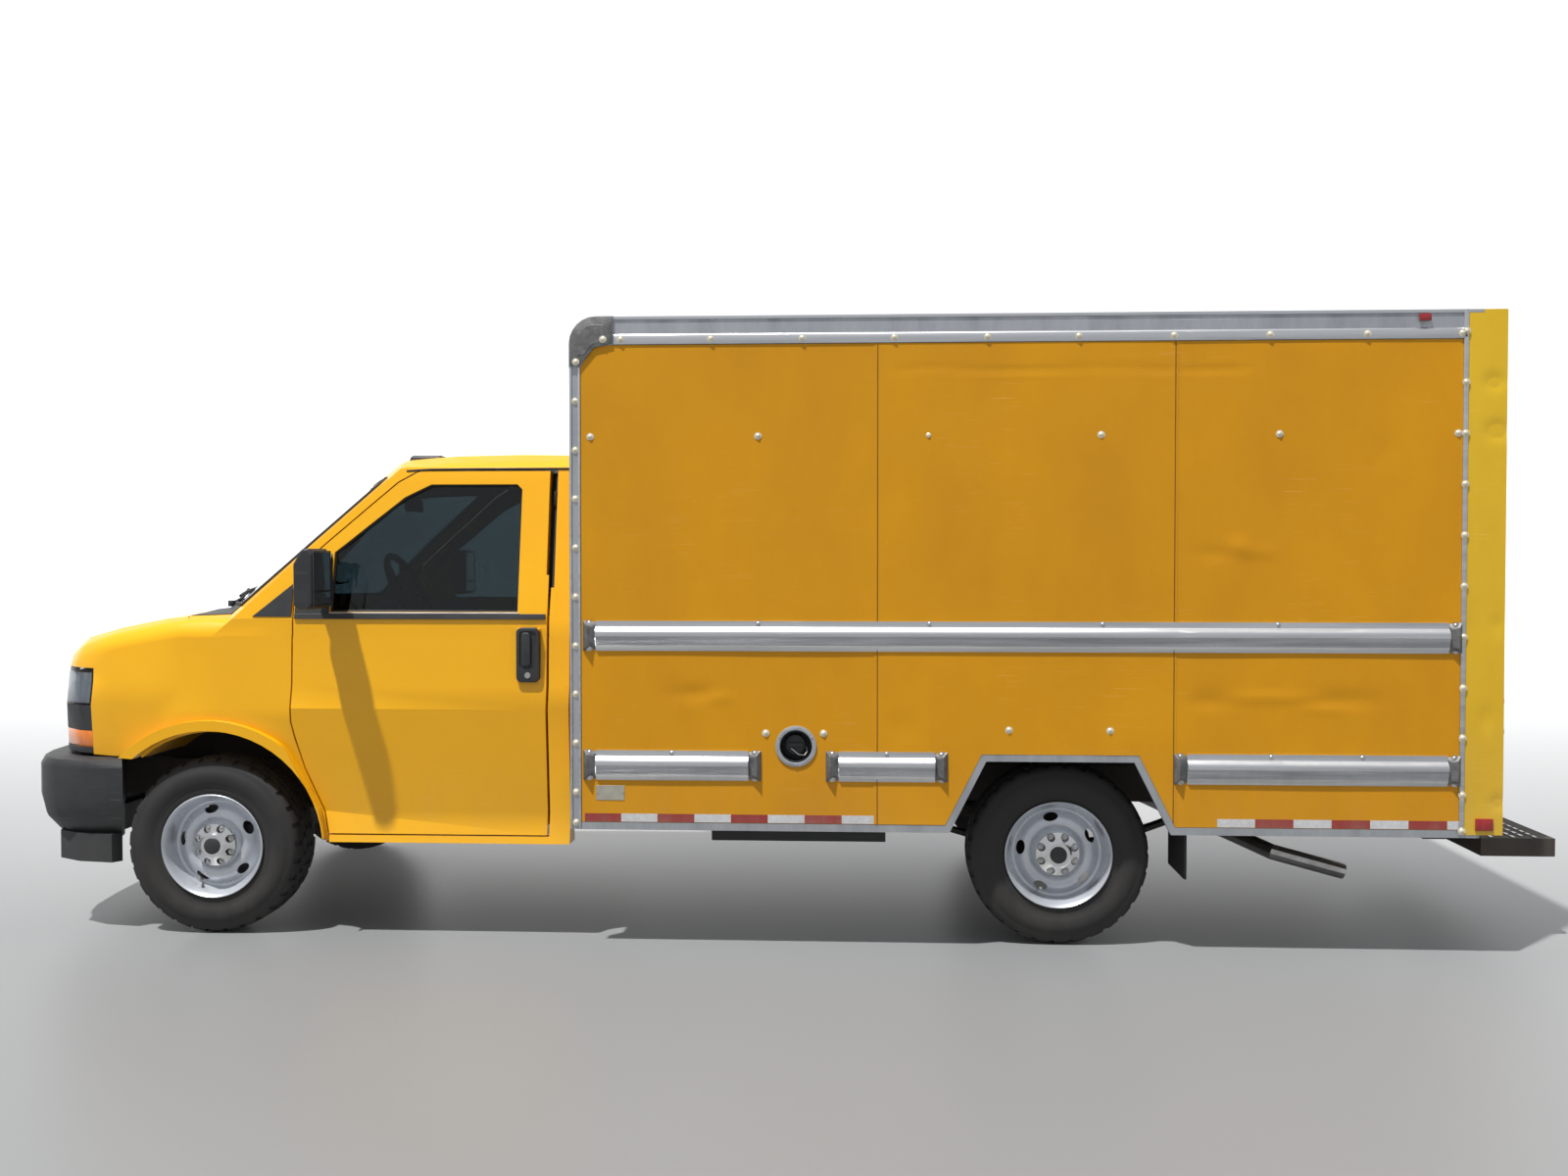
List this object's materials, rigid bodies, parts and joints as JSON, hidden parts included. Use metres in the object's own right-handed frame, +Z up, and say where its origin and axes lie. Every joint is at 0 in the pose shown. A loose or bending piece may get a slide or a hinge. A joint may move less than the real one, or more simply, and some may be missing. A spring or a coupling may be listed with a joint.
{
  "type": "work van",
  "caption": "Cutaway-cab work van with an enclosed post-and-panel box body, roll-up rear door, rub rails, steering front wheels, opening doors and hood.",
  "frame": {"origin": "bottom centre of the whole van, on the ground under its middle", "axes": "+Z up, +X towards the rear (the van faces -X), -Y is the driver's side"},
  "size_m": [6.536, 2.47, 2.556],
  "materials": {
    "cab_paint": "gloss",
    "box_paint": "satin",
    "white_panel": "satin",
    "aluminium": "weathered",
    "tyre": "matte",
    "rubber": "matte",
    "wheel_steel": "satin",
    "tinted_glass": "gloss",
    "lamp": "gloss",
    "seat_fabric": "woven",
    "chassis_black": "satin",
    "black_plastic": "matte"
  },
  "bodies": {
    "van": {"box_floor": "chassis_black", "box_frame": "aluminium", "box_front_wall": "box_paint", "box_roof": "white_panel", "box_side_left": "box_paint", "box_side_right": "box_paint", "cab_floor": "black_plastic", "cab_shell": "cab_paint", "chassis_frame": "chassis_black", "dashboard": "black_plastic", "driver_seat": "seat_fabric", "engine": "chassis_black", "exhaust_front": "chassis_black", "fender_left": "cab_paint", "fender_right": "cab_paint", "front_bumper": "black_plastic", "front_suspension": "chassis_black", "fuel_filler": "black_plastic", "fuel_tank": "black_plastic", "gearbox": "chassis_black", "grille": "black_plastic", "headlamp_left": "lamp", "headlamp_right": "lamp", "mud_flap_left": "rubber", "mud_flap_right": "rubber", "passenger_seat": "seat_fabric", "propshaft": "chassis_black", "rear_axle": "chassis_black", "rear_bumper": "chassis_black", "rear_frame": "box_paint", "rollup_door": "white_panel", "rub_front_left": "aluminium", "rub_front_right": "aluminium", "rub_middle_left": "aluminium", "rub_rear_left": "aluminium", "rub_rear_right": "aluminium", "rub_upper_left": "aluminium", "rub_upper_right": "aluminium", "skirt_rail_left": "aluminium", "skirt_rail_right": "aluminium", "tailpipe": "wheel_steel", "windshield": "tinted_glass"},
    "knuckle_left": {"knuckle_left": "chassis_black"},
    "knuckle_right": {"knuckle_right": "chassis_black"},
    "door_left": {"door_left": "cab_paint", "door_glass_left": "tinted_glass", "mirror_left": "black_plastic"},
    "door_right": {"door_right": "cab_paint", "door_glass_right": "tinted_glass", "mirror_right": "black_plastic"},
    "hood": {"hood": "cab_paint"},
    "steering_wheel": {"steering_wheel": "black_plastic"},
    "wheel_front_left": {"tyre_front_left": "tyre", "rim_front_left": "wheel_steel"},
    "wheel_front_right": {"tyre_front_right": "tyre", "rim_front_right": "wheel_steel"},
    "wheel_rear_left": {"tyre_rear_left": "tyre", "rim_rear_left": "wheel_steel"},
    "wheel_rear_right": {"tyre_rear_right": "tyre", "rim_rear_right": "wheel_steel"}
  },
  "joints": [
    {"name": "steer_left", "type": "hinge", "parent": "van", "child": "knuckle_left", "pos_m": [-2.328, -0.72, 0.37], "axis": [0, 0, 1], "range_deg": [-33, 33]},
    {"name": "steer_right", "type": "hinge", "parent": "van", "child": "knuckle_right", "pos_m": [-2.328, 0.72, 0.37], "axis": [0, 0, 1], "range_deg": [-33, 33]},
    {"name": "steering_column", "type": "hinge", "parent": "van", "child": "steering_wheel", "pos_m": [-1.663, -0.38, 1.425], "axis": [0.8829, 0, 0.4695], "range_deg": [-500, 500]},
    {"name": "spin_front_left", "type": "hinge", "parent": "knuckle_left", "child": "wheel_front_left", "pos_m": [-2.328, -0.867, 0.37], "axis": [0, -1, 0], "continuous": true},
    {"name": "spin_front_right", "type": "hinge", "parent": "knuckle_right", "child": "wheel_front_right", "pos_m": [-2.328, 0.867, 0.37], "axis": [0, -1, 0], "continuous": true},
    {"name": "spin_rear_left", "type": "hinge", "parent": "van", "child": "wheel_rear_left", "pos_m": [1.203, -0.867, 0.37], "axis": [0, -1, 0], "continuous": true},
    {"name": "spin_rear_right", "type": "hinge", "parent": "van", "child": "wheel_rear_right", "pos_m": [1.203, 0.867, 0.37], "axis": [0, -1, 0], "continuous": true},
    {"name": "door_left_swing", "type": "hinge", "parent": "van", "child": "door_left", "pos_m": [-1.976, -1.008, 1], "axis": [0, 0, -1], "range_deg": [0, 65]},
    {"name": "door_right_swing", "type": "hinge", "parent": "van", "child": "door_right", "pos_m": [-1.976, 1.008, 1], "axis": [0, 0, 1], "range_deg": [0, 65]},
    {"name": "hood_lift", "type": "hinge", "parent": "van", "child": "hood", "pos_m": [-2.458, 0, 1.358], "axis": [0, 1, 0], "range_deg": [0, 55]}
  ],
  "couplings": [
    {"joint": "steer_right", "follows": "steer_left", "ratio": 1},
    {"joint": "steering_column", "follows": "steer_left", "ratio": 15}
  ]
}
